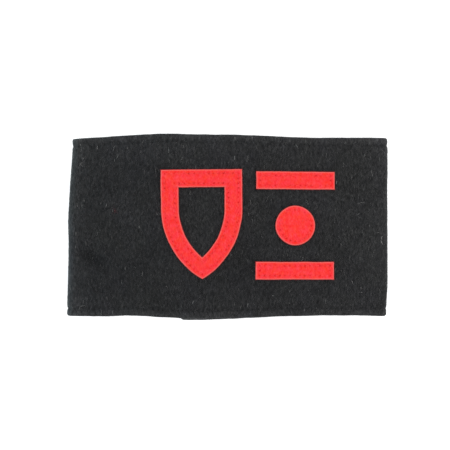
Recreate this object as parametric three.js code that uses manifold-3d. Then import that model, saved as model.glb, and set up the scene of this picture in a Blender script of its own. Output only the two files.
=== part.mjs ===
// An armband of heavy doubled wool cloth, lying flattened, with cut-outs of red felt sewn to its front.
// Millimetres. +X runs along the flattened loop, +Y across the cloth, and +Z up from the surface below it.

import * as THREE from 'three';
import { mergeVertices } from 'three/addons/utils/BufferGeometryUtils.js';
import { TessellateModifier } from 'three/addons/modifiers/TessellateModifier.js';
import Module from 'manifold-3d';

// The cloth: two plies with their long edges turned in, and the gap that lying pieces keep.
const WALL = 2.6;
const HALF_WALL = WALL / 2;
const GAP = 0.3;

// The flattened loop, from the outside of its left fold to the outside of its right fold.
const LEFT_END = -100.7;
const RIGHT_END = 100.7;
const LEFT_FOLD_RADIUS = 5.2;
const RIGHT_FOLD_RADIUS = 4.4;
const FOLD_STEPS = 8;

// The lapped seam at the back: where the strip's two ends stop, and where the upper one climbs.
const INNER_LAP_END = -6;
const OUTER_LAP_END = -29.4;
const CLIMB_START = -43;
const CLIMB_END = -30.6;
const CLIMB_STEP = 2.6;
const PANEL_STEP = 8;

// The two rows of sewing that hold the lap, as thin walls of thread through both layers.
const SEAM_ROWS = [-10.5, -23.5];
const SEAM_THICKNESS = 1;
const SEAM_BITE = 0.4;
const SEAM_MARGIN = 7;

// The felt cut-outs: a shield whose sides run straight down as far as its shoulders, two bars and a disc.
const FELT_THICKNESS = 1.2;
const STROKE = 11.3;
const SHIELD_WIDTH = 50.8;
const SHIELD_HEIGHT = 68.4;
const SHIELD_SHOULDER = 24;
const BAR_LENGTH = 49.2;
const DISC_RADIUS = 12.4;
const CURVE_STEPS = 10;
const LONGEST_FELT_EDGE = 9;
const TESSELLATE_ROUNDS = 6;

// Height of the middle of the cloth on the front, which is fullest above the lap.
const crown = [
  { along: -95.5, height: 9.1 },
  { along: -72, height: 10.9 },
  { along: -29, height: 13.1 },
  { along: 20, height: 12.1 },
  { along: 62, height: 9.7 },
  { along: 96.3, height: 7.5 },
];

// The long edges of the front, which bows out above the lap.
const frontEdges = [
  { along: -96, top: 55.25, bottom: -56 },
  { along: -76, top: 56.25, bottom: -55.8 },
  { along: -56, top: 57.65, bottom: -55.4 },
  { along: -40, top: 57.9, bottom: -56.4 },
  { along: -20, top: 57.65, bottom: -56.8 },
  { along: 5, top: 57.35, bottom: -56.65 },
  { along: 28, top: 56.6, bottom: -56.1 },
  { along: 52, top: 55.7, bottom: -55.5 },
  { along: 75, top: 55.7, bottom: -55.4 },
  { along: 96, top: 55.75, bottom: -55.8 },
];

// The long edges of the back, left of the lap and through its upper layer.
const innerBackEdges = [
  { along: -96, top: 55.05, bottom: -55.8 },
  { along: -50, top: 56.2, bottom: -56.2 },
  { along: -6, top: 56.8, bottom: -56.4 },
];

// The long edges of the back, right of the lap and through its lower layer, which was sewn on askew.
const outerBackEdges = [
  { along: -29.4, top: 55.6, bottom: -58.95 },
  { along: -12, top: 55.7, bottom: -58.65 },
  { along: 4, top: 55.8, bottom: -58.1 },
  { along: 28, top: 55.8, bottom: -57 },
  { along: 52, top: 55.6, bottom: -56 },
  { along: 96, top: 55.75, bottom: -55.8 },
];

// How far the two folds lie in from the loop's ends, along their length.
const foldLines = [
  { across: -56, left: 0, right: -0.85 },
  { across: -47, left: 0.1, right: -0.6 },
  { across: -36, left: 0.45, right: 0 },
  { across: -10, left: 0.9, right: 0 },
  { across: 4, left: 0.65, right: 0 },
  { across: 20, left: 1.5, right: -0.1 },
  { across: 36, left: 2.55, right: 0 },
  { across: 46, left: 3.3, right: 0 },
  { across: 56, left: 3.4, right: -0.2 },
];

// Half thickness of the cloth near a long edge: the turned edge, then the groove of the topstitching.
const edgeProfile = [
  { inset: 0, half: 0.35 },
  { inset: 0.3, half: 0.85 },
  { inset: 1, half: 1.18 },
  { inset: 2.2, half: HALF_WALL },
  { inset: 4.1, half: 1.26 },
  { inset: 4.7, half: 0.85 },
  { inset: 5.3, half: 1.26 },
  { inset: 6.2, half: HALF_WALL },
];

const wool = new THREE.MeshStandardMaterial({ color: 0x2d2e30, roughness: 0.95, metalness: 0 });
const redFelt = new THREE.MeshStandardMaterial({ color: 0xe8262e, roughness: 0.9, metalness: 0 });

const wasm = await Module();
wasm.setup();

// Reads a column of a table at any place, on a smooth curve through its rows.
function readTable(table, key, column, at) {
  const last = table.length - 1;
  const place = Math.min(Math.max(at, table[0][key]), table[last][key]);
  const next = Math.max(1, table.findIndex((row) => row[key] >= place));
  const slopeAt = (row) => {
    const before = table[Math.max(row - 1, 0)];
    const after = table[Math.min(row + 1, last)];
    return (after[column] - before[column]) / (after[key] - before[key]);
  };
  const a = table[next - 1];
  const b = table[next];
  const span = b[key] - a[key];
  const t = (place - a[key]) / span;
  const flat = t * t * (3 - 2 * t);
  const leaving = t * (1 - t) * (1 - t) * span * slopeAt(next - 1);
  const arriving = t * t * (1 - t) * span * slopeAt(next);
  return a[column] + (b[column] - a[column]) * flat + leaving - arriving;
}

// Evenly spaced numbers from one value to another, both included, no further apart than the step.
function spread(from, to, step) {
  const count = Math.ceil(Math.abs(to - from) / step);
  return Array.from({ length: count + 1 }, (_, i) => from + ((to - from) * i) / count);
}

// A point of the strip's middle line, with the long edges of the panel that it belongs to.
function panelPoint(x, z, edges) {
  return {
    x,
    z,
    top: readTable(edges, 'along', 'top', x),
    bottom: readTable(edges, 'along', 'bottom', x),
  };
}

function crownHeight(x) {
  return readTable(crown, 'along', 'height', x);
}

// The back from the lap's inner end, down off the lower layer and on to the left fold.
function innerBack() {
  const lapHeight = WALL + GAP + HALF_WALL;
  const climb = (x) => {
    const share = THREE.MathUtils.smoothstep(x, CLIMB_START, CLIMB_END);
    return THREE.MathUtils.lerp(HALF_WALL, lapHeight, share);
  };
  const foldStart = LEFT_END + LEFT_FOLD_RADIUS;
  const stops = [
    ...spread(INNER_LAP_END, CLIMB_END, PANEL_STEP).slice(0, -1),
    ...spread(CLIMB_END, CLIMB_START, CLIMB_STEP).slice(0, -1),
    ...spread(CLIMB_START, foldStart, PANEL_STEP),
  ];
  return stops.map((x) => panelPoint(x, climb(x), innerBackEdges));
}

// A fold, turned through half a circle about its centre line.
function foldTurn(centre, side, bottomPoint, topPoint, goesUp) {
  const points = [];
  for (let step = 1; step < FOLD_STEPS; step += 1) {
    const turned = step / FOLD_STEPS;
    const share = goesUp ? turned : 1 - turned;
    const angle = Math.PI * share;
    points.push({
      x: centre + side * ((topPoint.z - bottomPoint.z) / 2) * Math.sin(angle),
      z: THREE.MathUtils.lerp(bottomPoint.z, topPoint.z, (1 - Math.cos(angle)) / 2),
      top: THREE.MathUtils.lerp(bottomPoint.top, topPoint.top, share),
      bottom: THREE.MathUtils.lerp(bottomPoint.bottom, topPoint.bottom, share),
    });
  }
  return points;
}

// The strip's middle line, from the lap's inner end round the loop to its outer end.
function middleLine() {
  const left = LEFT_END + LEFT_FOLD_RADIUS;
  const right = RIGHT_END - RIGHT_FOLD_RADIUS;
  const inner = innerBack();
  const front = spread(left, right, PANEL_STEP).map((x) => panelPoint(x, crownHeight(x), frontEdges));
  const outer = spread(right, OUTER_LAP_END, PANEL_STEP).map((x) =>
    panelPoint(x, HALF_WALL, outerBackEdges),
  );
  return [
    ...inner,
    ...foldTurn(left, -1, inner.at(-1), front[0], true),
    ...front,
    ...foldTurn(right, 1, outer[0], front.at(-1), false),
    ...outer,
  ];
}

// How far a point of the cloth shifts along the loop because the folds aren't quite straight.
function foldShift(x, y) {
  const share = THREE.MathUtils.clamp((x - LEFT_END) / (RIGHT_END - LEFT_END), 0, 1);
  const left = readTable(foldLines, 'across', 'left', y);
  const right = readTable(foldLines, 'across', 'right', y);
  return THREE.MathUtils.lerp(left, right, share);
}

// The places across the cloth where its thickness is set, from its top edge to its bottom edge.
function acrossCloth(top, bottom) {
  const upper = edgeProfile.map((row) => ({ y: top - row.inset, half: row.half }));
  const lower = edgeProfile.map((row) => ({ y: bottom + row.inset, half: row.half })).reverse();
  const middle = { y: (top + bottom) / 2, half: HALF_WALL };
  return [...upper, middle, ...lower];
}

// The ring of points round the cloth's section at one point of the middle line.
function clothSection(line, index) {
  const here = line[index];
  const before = line[Math.max(index - 1, 0)];
  const after = line[Math.min(index + 1, line.length - 1)];
  const along = new THREE.Vector2(after.x - before.x, after.z - before.z).normalize();
  const outward = new THREE.Vector2(-along.y, along.x);
  const place = (spot, side) =>
    new THREE.Vector3(
      here.x + outward.x * spot.half * side + foldShift(here.x, spot.y),
      spot.y,
      here.z + outward.y * spot.half * side,
    );
  const spots = acrossCloth(here.top, here.bottom);
  const outside = spots.map((spot) => place(spot, 1));
  const inside = spots.map((spot) => place(spot, -1));
  return [...outside, ...inside.reverse()];
}

// A closed body through rings of the same number of points, with a ladder of faces over each end.
function loft(rings) {
  const count = rings[0].length;
  const faces = [];
  const quad = (a, b, c, d) => faces.push(a, b, c, a, c, d);
  for (let ring = 0; ring < rings.length - 1; ring += 1) {
    for (let point = 0; point < count; point += 1) {
      const next = (point + 1) % count;
      const start = ring * count;
      quad(start + point, start + next, start + count + next, start + count + point);
    }
  }
  const lastRing = (rings.length - 1) * count;
  for (let point = 0; point < count / 2 - 1; point += 1) {
    const across = count - 1 - point;
    quad(across, across - 1, point + 1, point);
    quad(lastRing + point, lastRing + point + 1, lastRing + across - 1, lastRing + across);
  }
  const geometry = new THREE.BufferGeometry().setFromPoints(rings.flat());
  geometry.setIndex(faces);
  return geometry;
}

// The geometry's shape alone, with the points that its faces share merged.
function mergedShape(geometry) {
  const shape = geometry.clone();
  shape.deleteAttribute('normal');
  shape.deleteAttribute('uv');
  return mergeVertices(shape);
}

function toSolid(geometry) {
  const shape = mergedShape(geometry);
  const vertProperties = new Float32Array(shape.attributes.position.array);
  const triVerts = new Uint32Array(shape.index.array);
  return new wasm.Manifold(new wasm.Mesh({ numProp: 3, vertProperties, triVerts }));
}

function fromSolid(solid) {
  const mesh = solid.getMesh();
  const geometry = new THREE.BufferGeometry();
  geometry.setAttribute('position', new THREE.BufferAttribute(mesh.vertProperties, 3));
  geometry.setIndex(new THREE.BufferAttribute(mesh.triVerts, 1));
  return geometry;
}

// One row of the lap's sewing, buried a little way in both layers and stopping short of their edges.
function seamRow(x) {
  const top = outerBackEdges[0].top - SEAM_MARGIN;
  const bottom = innerBackEdges.at(-1).bottom + SEAM_MARGIN;
  const row = new THREE.BoxGeometry(SEAM_THICKNESS, top - bottom, GAP + 2 * SEAM_BITE);
  return row.translate(x, (top + bottom) / 2, WALL + GAP / 2);
}

function band() {
  const line = middleLine();
  const strip = loft(line.map((_, index) => clothSection(line, index)));
  const sewn = SEAM_ROWS.reduce((solid, x) => solid.add(toSolid(seamRow(x))), toSolid(strip));
  return namedMesh('band', fromSolid(sewn), wool);
}

function namedMesh(name, geometry, material) {
  geometry.computeVertexNormals();
  const mesh = new THREE.Mesh(geometry, material);
  mesh.name = name;
  return mesh;
}

// A cut-out of felt, laid on the front of the cloth so that it follows the crown.
function feltPatch({ name, outline, x, y, lean }) {
  const flat = new THREE.ExtrudeGeometry(outline, {
    depth: FELT_THICKNESS,
    bevelEnabled: false,
    curveSegments: CURVE_STEPS,
  });
  flat.rotateZ(THREE.MathUtils.degToRad(lean));
  flat.translate(x, y, HALF_WALL + GAP);
  const fine = mergedShape(new TessellateModifier(LONGEST_FELT_EDGE, TESSELLATE_ROUNDS).modify(flat));
  const points = fine.attributes.position;
  for (let index = 0; index < points.count; index += 1) {
    points.setZ(index, points.getZ(index) + crownHeight(points.getX(index)));
  }
  return namedMesh(name, fine, redFelt);
}

// A shield's outline: straight top and upper sides, and two arcs that meet in a point below.
// The inset draws the same shield that far inside its own outline.
function shieldPath(path, inset) {
  const halfWidth = SHIELD_WIDTH / 2;
  const drop = SHIELD_HEIGHT - SHIELD_SHOULDER;
  const arcX = (halfWidth * halfWidth - drop * drop) / SHIELD_WIDTH;
  const arcY = SHIELD_HEIGHT / 2 - SHIELD_SHOULDER;
  const radius = halfWidth - arcX - inset;
  const turn = Math.acos(-arcX / radius);
  path.moveTo(inset - halfWidth, SHIELD_HEIGHT / 2 - inset);
  path.lineTo(inset - halfWidth, arcY);
  path.absarc(-arcX, arcY, radius, Math.PI, Math.PI + turn, false);
  path.absarc(arcX, arcY, radius, -turn, 0, false);
  path.lineTo(halfWidth - inset, SHIELD_HEIGHT / 2 - inset);
  path.closePath();
  return path;
}

function shieldFrame() {
  const outline = shieldPath(new THREE.Shape(), 0);
  outline.holes.push(shieldPath(new THREE.Path(), STROKE));
  return outline;
}

function bar() {
  const outline = new THREE.Shape();
  outline.moveTo(-BAR_LENGTH / 2, -STROKE / 2);
  outline.lineTo(BAR_LENGTH / 2, -STROKE / 2);
  outline.lineTo(BAR_LENGTH / 2, STROKE / 2);
  outline.lineTo(-BAR_LENGTH / 2, STROKE / 2);
  outline.closePath();
  return outline;
}

function disc() {
  return new THREE.Shape().absarc(0, 0, DISC_RADIUS, 0, 2 * Math.PI, false);
}

// Where each cut-out lies on the front, and how many degrees it leans.
const cutOuts = [
  { name: 'shield_patch', outline: shieldFrame(), x: -15.9, y: 1.6, lean: 0.5 },
  { name: 'upper_bar_patch', outline: bar(), x: 42.4, y: 28.8, lean: -0.4 },
  { name: 'disc_patch', outline: disc(), x: 42.2, y: 0.8, lean: 0 },
  { name: 'lower_bar_patch', outline: bar(), x: 42, y: -27.3, lean: -0.2 },
];

const armband = new THREE.Group();
armband.add(band(), ...cutOuts.map(feltPatch));

// The origin is on the surface below the armband, under the middle of the space that it fills.
const filled = new THREE.Box3().setFromObject(armband);
const middle = filled.getCenter(new THREE.Vector3());
armband.position.set(-middle.x, -middle.y, -filled.min.z);

export default armband;
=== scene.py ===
import math

import bmesh
import bpy
import numpy as np
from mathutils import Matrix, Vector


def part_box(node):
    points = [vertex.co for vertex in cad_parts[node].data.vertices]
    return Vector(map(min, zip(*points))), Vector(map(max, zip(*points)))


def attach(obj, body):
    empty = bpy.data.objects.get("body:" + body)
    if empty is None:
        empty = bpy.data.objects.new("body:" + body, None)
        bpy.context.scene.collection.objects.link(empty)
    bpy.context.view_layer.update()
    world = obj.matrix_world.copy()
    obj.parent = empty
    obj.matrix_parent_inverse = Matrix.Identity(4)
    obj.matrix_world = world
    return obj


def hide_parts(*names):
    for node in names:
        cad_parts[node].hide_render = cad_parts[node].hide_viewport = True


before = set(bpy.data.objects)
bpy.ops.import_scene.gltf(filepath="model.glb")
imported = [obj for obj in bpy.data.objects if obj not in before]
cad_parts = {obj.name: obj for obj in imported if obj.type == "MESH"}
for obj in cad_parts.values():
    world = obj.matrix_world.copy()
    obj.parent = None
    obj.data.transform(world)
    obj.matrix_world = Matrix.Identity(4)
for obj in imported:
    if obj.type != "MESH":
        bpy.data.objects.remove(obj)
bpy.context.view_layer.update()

# Lengths are in millimetres until a mesh is made, in the frame of the CAD model.
MM = 0.001
BODY = "root"

# The cloth: two plies with their long edges turned in.
WALL = 2.6
HALF_WALL = WALL / 2
GAP = 0.3
CLOTH_WIDTH = 114.3

# The flattened loop, from the outside of its left fold to the outside of its right fold.
LEFT_END = -100.7
RIGHT_END = 100.7
LEFT_FOLD_RADIUS = 5.2
RIGHT_FOLD_RADIUS = 4.4

# The lapped seam at the back: the strip's two ends, the upper one's climb, the ends' round corners, and the
# two rows of sewing: where they run, how they draw in the cloth, the painted shade in their dents, how far
# they stop short of its long edges, how much deeper their thread sinks than elsewhere, and how far it rises.
INNER_LAP_END = -6.0
OUTER_LAP_END = -29.4
CLIMB_START = -43.0
CLIMB_END = -30.6
CORNER_RADIUS = 2.2
SEAM_ROWS = np.array((-10.5, -23.5))
SEAM_DENT = 0.4
SEAM_DENT_WIDTH = 0.8
SEAM_SHADE = 0.4
SEAM_MARGIN = 6.5
SEAM_REACH = 3.0
SEAM_THREAD_RISE = 0.08

# How finely the cloth is drawn along the strip, round its folds and across it.
STRIP_STEP = 1.0
FOLD_STEPS = 20
ACROSS_STEP = 1.5

# The strip's two ends: how far in their rounding starts, how full it is and where it is drawn.
END_ROUNDING = 0.9
END_ROUNDNESS = 0.95
END_STATIONS = (0.12, 0.4, 0.75)

# Height of the middle of the cloth on the front.
CROWN = {
    "along": (-95.5, -72, -29, 20, 62, 96.3),
    "height": (9.1, 10.9, 13.1, 12.1, 9.7, 7.5),
}

# The long edges of the front, of the back left of the lap, and of the back right of it.
FRONT_EDGES = {
    "along": (-96, -76, -56, -40, -20, 5, 28, 52, 75, 96),
    "top": (55.25, 56.25, 57.65, 57.9, 57.65, 57.35, 56.6, 55.7, 55.7, 55.75),
    "bottom": (-56, -55.8, -55.4, -56.4, -56.8, -56.65, -56.1, -55.5, -55.4, -55.8),
}
INNER_BACK_EDGES = {
    "along": (-96, -50, -6),
    "top": (55.05, 56.2, 56.8),
    "bottom": (-55.8, -56.2, -56.4),
}
OUTER_BACK_EDGES = {
    "along": (-29.4, -12, 4, 28, 52, 96),
    "top": (55.6, 55.7, 55.8, 55.8, 55.6, 55.75),
    "bottom": (-58.95, -58.65, -58.1, -57, -56, -55.8),
}

# How far the two folds lie in from the loop's ends, along their length.
FOLD_LINES = {
    "across": (-56, -47, -36, -10, 4, 20, 36, 46, 56),
    "left": (0, 0.1, 0.45, 0.9, 0.65, 1.5, 2.55, 3.3, 3.4),
    "right": (-0.85, -0.6, 0, 0, 0, -0.1, 0, 0, -0.2),
}

# The section of a long edge, from the slit between its turned plies round the rim and over the groove of
# the topstitching; then which row is the rim's, and the groove's place, width, floor and dips at its holes.
EDGE_INSETS = np.array(
    (0.3, 0.1, 0, 0.05, 0.25, 0.6, 1.1, 1.8, 2.5, 3.1, 3.6, 4, 4.35, 4.7, 5.05, 5.4, 5.9, 7)
)
EDGE_HEIGHTS = np.array(
    (0, 0.1, 0.34, 0.64, 0.94, 1.14, 1.27, 1.34, 1.34, 1.28, 1.17, 1.02, 0.87, 0.78, 0.87, 1.05, 1.22, 1.3)
)
RIM_ROW = 2
GROOVE_INSET = 4.7
GROOVE_WIDTH = 0.9
GROOVE_FLOOR = 0.78
GROOVE_DIP = 0.14

# Unevenness in layers of noise, each with its amount and its width, and the seed of the first layer: the
# cloth's felted surface, the front's soft waves, and the wandering of the sewn long edges.
FELTING = ((0.05, 2.8), (0.03, 1.5))
FELTING_SEED = 31
SWELL = ((0.28, 38), (0.14, 17))
SWELL_SEED = 3
WANDER = ((0.16, 9), (0.07, 3))
TOP_SEED = 11
BOTTOM_SEED = 21

# How far in from the loop's ends the waves begin and are full, and how far up the cloth must face for them.
SWELL_ENDS = (4, 22)
SWELL_FACING = (0.8, 1)

# A shallow crease near the left fold, which reaches inward and down.
CREASE_X = -85.8
CREASE_Y = -19.0
CREASE_LENGTH = 11.0
CREASE_WIDTH = 4.3
CREASE_TURN = -30.0
CREASE_DEPTH = 0.6

# The cloth's shade: lighter on its rims, partly from wear and partly painted light; painted light on its
# folds, on the puff inside the topstitching and on the lap's lower rim; painted shade on the tight fold,
# inward of the loose one, in the crease and in the grooves, most of all at their needle holes; painted
# light a little stronger to the right and the top; and a little cloudy. Each row for the folds has
# the fold, the distance from it, the width and the amount.
RIM_WEAR_AND_LIGHT = 0.56
RIM_WEAR_AND_LIGHT_ENDS = (0.3, 6.4)
PUFF_PAINTED_LIGHT = 0.07
PUFF_INSET = 8.0
PUFF_WIDTH = 4.0
FOLD_LIGHT_AND_SHADE = (
    ("left", 0, 8.5, 0.34),
    ("left", 4, 7.5, 0.17),
    ("left", 17, 12, -0.15),
    ("right", -5, 7, 0.21),
    ("right", 0, 2.4, -0.48),
)
LAP_PAINTED_LIGHT = 2.2
LAP_PAINTED_LIGHT_LENGTH = 24.0
LAP_PAINTED_LIGHT_WIDTH = 2.4
PAINTED_LIGHT_RIGHTWARD = 0.02
PAINTED_LIGHT_UPWARD = 0.13
GROOVE_SHADE = 0.14
GROOVE_SHADE_WIDTH = 1.1
STITCH_SHADE = 2.4
CREASE_SHADE = 0.46
CLOUDS = ((0.12, 27), (0.1, 9))
CLOUDS_SEED = 71

# Lighter and darker places, set so that the front's broad shade, clouds and all, comes near the
# photograph's: x, y, how far each reaches, and its amount.
PATCHES = (
    (-92.7, -48.5, 12, 0.19),
    (-95.2, 20, 7, 0.16),
    (-49.9, 47.7, 6, 0.17),
    (-29.8, 47.7, 9, 0.2),
    (-16, -12.1, 8, 0.22),
    (83.4, -41.6, 7, 0.14),
    (-58.7, 30.7, 12, -0.19),
    (-87.6, 6.8, 7, -0.15),
    (-48.7, -15.8, 11, -0.17),
    (-41.1, -50.4, 6, -0.18),
    (11.7, -19.6, 8, -0.2),
    (21.8, -39.1, 9, -0.17),
    (13, 44.5, 8, -0.17),
    (59.5, 40.1, 7, -0.13),
    (65.8, -8.3, 14, -0.2),
    (57.6, -44.1, 6, -0.18),
    (93.4, 9.3, 6, -0.14),
)

# Stitching: the length of a stitch, its rise at shares of its length, its threads, where it runs on the felt
# and how unevenly its holes lie there.
STITCH = 3.1
ARCH_SHARES = np.array((0, 0.1, 0.25, 0.5, 0.75, 0.9, 1))
ARCH_RISES = np.array((-0.85, -0.35, -0.02, 0.08, -0.02, -0.35, -0.85))
THREAD_SIDES = 6
THREAD_SEED = 33
WOOL_THREAD = 0.17
FELT_THREAD = 0.14
FELT_STITCH_INSET = 2.6
STITCH_JITTER = 0.22

# The felt cut-outs: their height above the cloth, their sizes, the step along their outlines, and their
# rings of points: how far in they lie, how far apart the disc's further ones are, and every how many the
# underside has one.
FELT_LIFT = 0.12
FELT_THICKNESS = 1.38
STROKE = 11.3
SHIELD_WIDTH = 50.8
SHIELD_HEIGHT = 68.4
SHIELD_SHOULDER = 24.0
BAR_LENGTH = 49.2
DISC_RADIUS = 12.4
FELT_STEP = 0.55
FELT_INSETS = np.array(
    (0, 0.07, 0.2, 0.4, 0.75, 1.2, 1.65, 2.05, 2.35, 2.6, 2.85, 3.15, 3.6, 4.2, 4.9, 5.65)
)
DISC_STEP = 0.7
UNDERSIDE_STEP = 5

# The felt's cut edge: its section, the pale line along it, partly paler cut fibres and partly a painted
# highlight, and the painted shade at its foot.
CUT_EDGE = {
    "inset": (0, 0.07, 0.2, 0.4, 0.75),
    "share": (0.6, 0.8, 0.93, 0.99, 1),
}
PALE_EDGE_INSET = 0.42
PALE_EDGE_WIDTH = 0.28
FOOT_SHADE_ENDS = (0.08, 0.42)

# How the felt is drawn down at its needle holes and along its sewing, how matted its top is, and how its
# outline wanders, in layers of noise with a seed for each axis.
DIMPLE_DEPTH = 0.5
DIMPLE_RADIUS = 0.5
DIMPLE_STRENGTH = (0.0, 1.3)
FELT_GROOVE_DEPTH = 0.12
FELT_GROOVE_WIDTH = 0.8
MATTED_HEIGHT = 0.035
MATTED_WIDTH = 1.7
CUT_WANDER = ((0.12, 7), (0.05, 1.6))
CUT_SEEDS = (61, 63)

# Where each cut-out lies on the front, how many degrees it leans, and the seed of its sewing and matting.
CUT_OUT_COLUMNS = ("node", "piece", "shape", "x", "y", "lean", "seed")
CUT_OUTS = (
    ("shield_patch", "felt_shield", "shield", -15.9, 1.6, 0.5, 66),
    ("upper_bar_patch", "felt_upper_bar", "bar", 42.4, 28.8, -0.4, 67),
    ("disc_patch", "felt_disc", "disc", 42.2, 0.8, 0, 68),
    ("lower_bar_patch", "felt_lower_bar", "bar", 42, -27.3, -0.2, 69),
)

# Loose fibres on one face of the cloth, over the front or the whole strip less a margin at its ends. They
# lean by so many degrees from lying straight across the strip.
FIBRE_MARGIN = 1.0
FUZZ_COLUMNS = (
    "piece", "strand", "face", "part", "count", "points", "longest", "radius", "rise", "lean", "seed",
)
FUZZ = (
    ("grey_fuzz", "grey_fibre", 1, "front", 15000, 4, 2.7, 0.037, 0.18, 18, 41),
    ("dark_fuzz", "dark_fibre", 1, "front", 13000, 4, 2.8, 0.045, 0.2, 20, 42),
    ("pale_hairs", "pale_hair", 1, "front", 350, 7, 4.2, 0.033, 0.25, 14, 43),
    ("back_fuzz", "grey_fibre", 1, "strip", 9000, 4, 3.0, 0.036, 0.16, 20, 44),
    ("inner_fuzz", "dark_fibre", -1, "strip", 6000, 4, 2.6, 0.04, 0.18, 30, 45),
)

# Short fibres: those that stand out of the long edges, with how deep and within which height they start and
# how they slope, and those that lie any way on the felt.
RIM_FUZZ = {"count": 4200, "points": 4, "longest": 0.95, "radius": 0.026, "depth": 0.25, "height": 0.9,
            "slope": 0.12, "lean": 40, "seed": 51}
FELT_FUZZ = {"count": 7000, "points": 4, "longest": 1.3, "radius": 0.026, "rise": 0.14, "curl": 0.3,
             "seed": 52}

# What fibres share: their sides, the shortest's length and the lowest's rise as shares of the most, how rare
# light ones are, how they curl, how their radii vary, and how deep their ends are buried.
FIBRE_SIDES = 3
SHORTEST_SHARE = 0.3
LOWEST_SHARE = 0.2
SHADE_POWER = 2.0
FIBRE_CURL = 0.05
RADIUS_SPREAD = (0.6, 1.3)
SHORT_RADIUS_SPREAD = (0.6, 1.2)
BURIED = 0.03

# The hairs and lint that show best on the front: x, y, how long each is, how many degrees it leans to the
# right, and how pale it is.
CLEAR_HAIRS = (
    (-72.2, 10.2, 1.7, 0, 0.42),
    (-92.2, 39.6, 3.2, 38, 0.62),
    (-91.4, 38.6, 2.4, -35, 0.42),
    (-91, -49.7, 3, 82, 0.64),
    (-81.8, 49.8, 2.8, 6, 0.88),
    (-91.9, 48.1, 2.2, 0, 0.5),
    (-90.7, 42.7, 1.7, 4, 0.9),
    (-93, -51.3, 2.2, 30, 0.58),
    (-95.1, -4.4, 2.6, 0, 0.5),
    (-69, 44.3, 2.8, 22, 0.3),
    (-52.2, 34.3, 2.8, 3, 0.3),
    (-55.4, -0.1, 1.7, 0, 0.95),
    (-64.2, -26.2, 2.2, 0, 0.6),
    (-28.6, 43.1, 2.4, 25, 0.5),
    (4.5, 43.4, 2.9, -3, 0.9),
    (13.3, 7.9, 2.2, 0, 0.5),
    (12.7, -49.2, 2.8, 2, 0.6),
    (2.2, -17.8, 1.6, 0, 0.7),
    (28.6, -43.2, 1.4, 60, 0.8),
    (62, 45, 3.6, 2, 0.3),
    (68.4, 27.8, 2.2, 4, 0.95),
    (78.5, -34.9, 2.4, -28, 0.66),
    (82.3, 8.1, 2.2, 48, 0.36),
    (83.8, 15.2, 5.4, 78, 0.25),
    (90.6, 33.8, 4.2, -16, 0.58),
    (96.9, -7.1, 2, 4, 0.85),
    (98.1, -6.3, 1.7, 84, 0.65),
    (98.2, -9.8, 3.4, -18, 0.9),
    (83.9, -38.5, 1.7, 0, 0.7),
    (84.2, -41.3, 1.4, 60, 0.6),
    (-90, 16.3, 1.7, 0, 0.6),
    (71.3, -10.8, 1.7, 0, 0.5),
    (-91.3, 13.2, 1.7, 0, 0.5),
    (94.8, -3.5, 1.4, 88, 0.55),
)
CLEAR_HAIR_POINTS = 7
CLEAR_HAIR_RADIUS = 0.06
HAIR_RISE = 0.25

# A few red fibres, caught in one place: how far round it they lie, how they turn in radians and curl.
RED_SPECK = {"x": -71.2, "y": 10, "count": 24, "points": 5, "longest": 2.4, "radius": 0.021,
             "spread": 1.0, "turn": 0.4, "curl": 0.3, "seed": 53}

# Each kind of surface: its roughness, its sheen and the sheen's tint, and its specular.
SURFACES = {
    "wool": (0.95, 0.14, (0.9, 0.96, 1.0), 0.1),
    "felt": (0.9, 0.08, (1.0, 0.55, 0.5), 0.12),
    "strand": (0.8, 0.2, (1, 1, 1), 0.2),
    "table": (0.8, 0, (1, 1, 1), 0.2),
}
SHEEN_ROUGHNESS = 0.45

# The noise in each kind: how fine it is, how far it is stretched along Y, how many degrees it is turned and
# how detailed it is.
NOISES = {
    "wool": {
        "streaks": (1050, 2.8, 3, 5),
        "crossing": (1000, 2.8, -20, 5),
        "leaning": (950, 2.8, 23, 5),
        "clouds": (60, 1.6, 0, 3),
    },
    "felt": {
        "strands": (1500, 2.6, 12, 5),
        "crossing": (1300, 3, -60, 5),
        "blotches": (420, 1.2, 0, 3),
        "casts": (300, 1.3, 0, 3),
        "clouds": (110, 1, 0, 3),
    },
    "strand": {"twist": (5200, 1, 0, 2)},
}
NOISE_ROUGHNESS = 0.6

# The colours that follow the noise: up to which value it has the first, and from which it has the second.
RAMPS = {
    "wool": {
        "streaks": (0.36, (0.0072, 0.0072, 0.0077), 0.64, (0.0212, 0.0214, 0.0226)),
        "crossing": (0.5, (0, 0, 0), 0.72, (0.017, 0.017, 0.0176)),
        "leaning": (0.52, (0, 0, 0), 0.74, (0.015, 0.0148, 0.014)),
        "clouds": (0.35, (0.95, 0.945, 0.9), 0.65, (0.94, 0.925, 0.95)),
    },
    "felt": {
        "strands": (0.32, (0.768, 0.0162, 0.018), 0.66, (0.848, 0.062, 0.065)),
        "blotches": (0.34, (0.98, 0.69, 0.65), 0.62, (1.0, 1.04, 1.04)),
        "casts": (0.34, (0.995, 0.98, 0.63), 0.64, (1.0, 0.95, 1.25)),
    },
    "strand": {"twist": (0.35, (0.8, 0.8, 0.8), 0.65, (1, 1, 1))},
}

# How the noise bumps each kind, the broadest first: the depth in metres and the strength.
BUMPS = {
    "wool": {"clouds": (0.0008, 0.35), "streaks": (0.0003, 0.8), "crossing": (0.00025, 0.7)},
    "felt": {"clouds": (0.0006, 0.15), "strands": (0.0002, 0.5), "crossing": (0.00015, 0.4)},
    "strand": {"twist": (0.0001, 0.5)},
}

# The felt's colours: painted shade at its needle holes; a pale line on its cut edge, partly its paler cut
# fibres and partly a painted highlight; and painted shade at the cut edge's foot.
FELT_TINTS = {
    "needle_hole_shade": (0.57, 0.0, 0.0),
    "pale_edge": (0.72, 0.15, 0.13),
    "foot_shade": (0.3, 0.004, 0.004),
}

# The sockets of Blender's mix node that mix colours.
MIX_INPUTS = (0, 6, 7)
MIX_OUTPUT = 2

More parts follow.
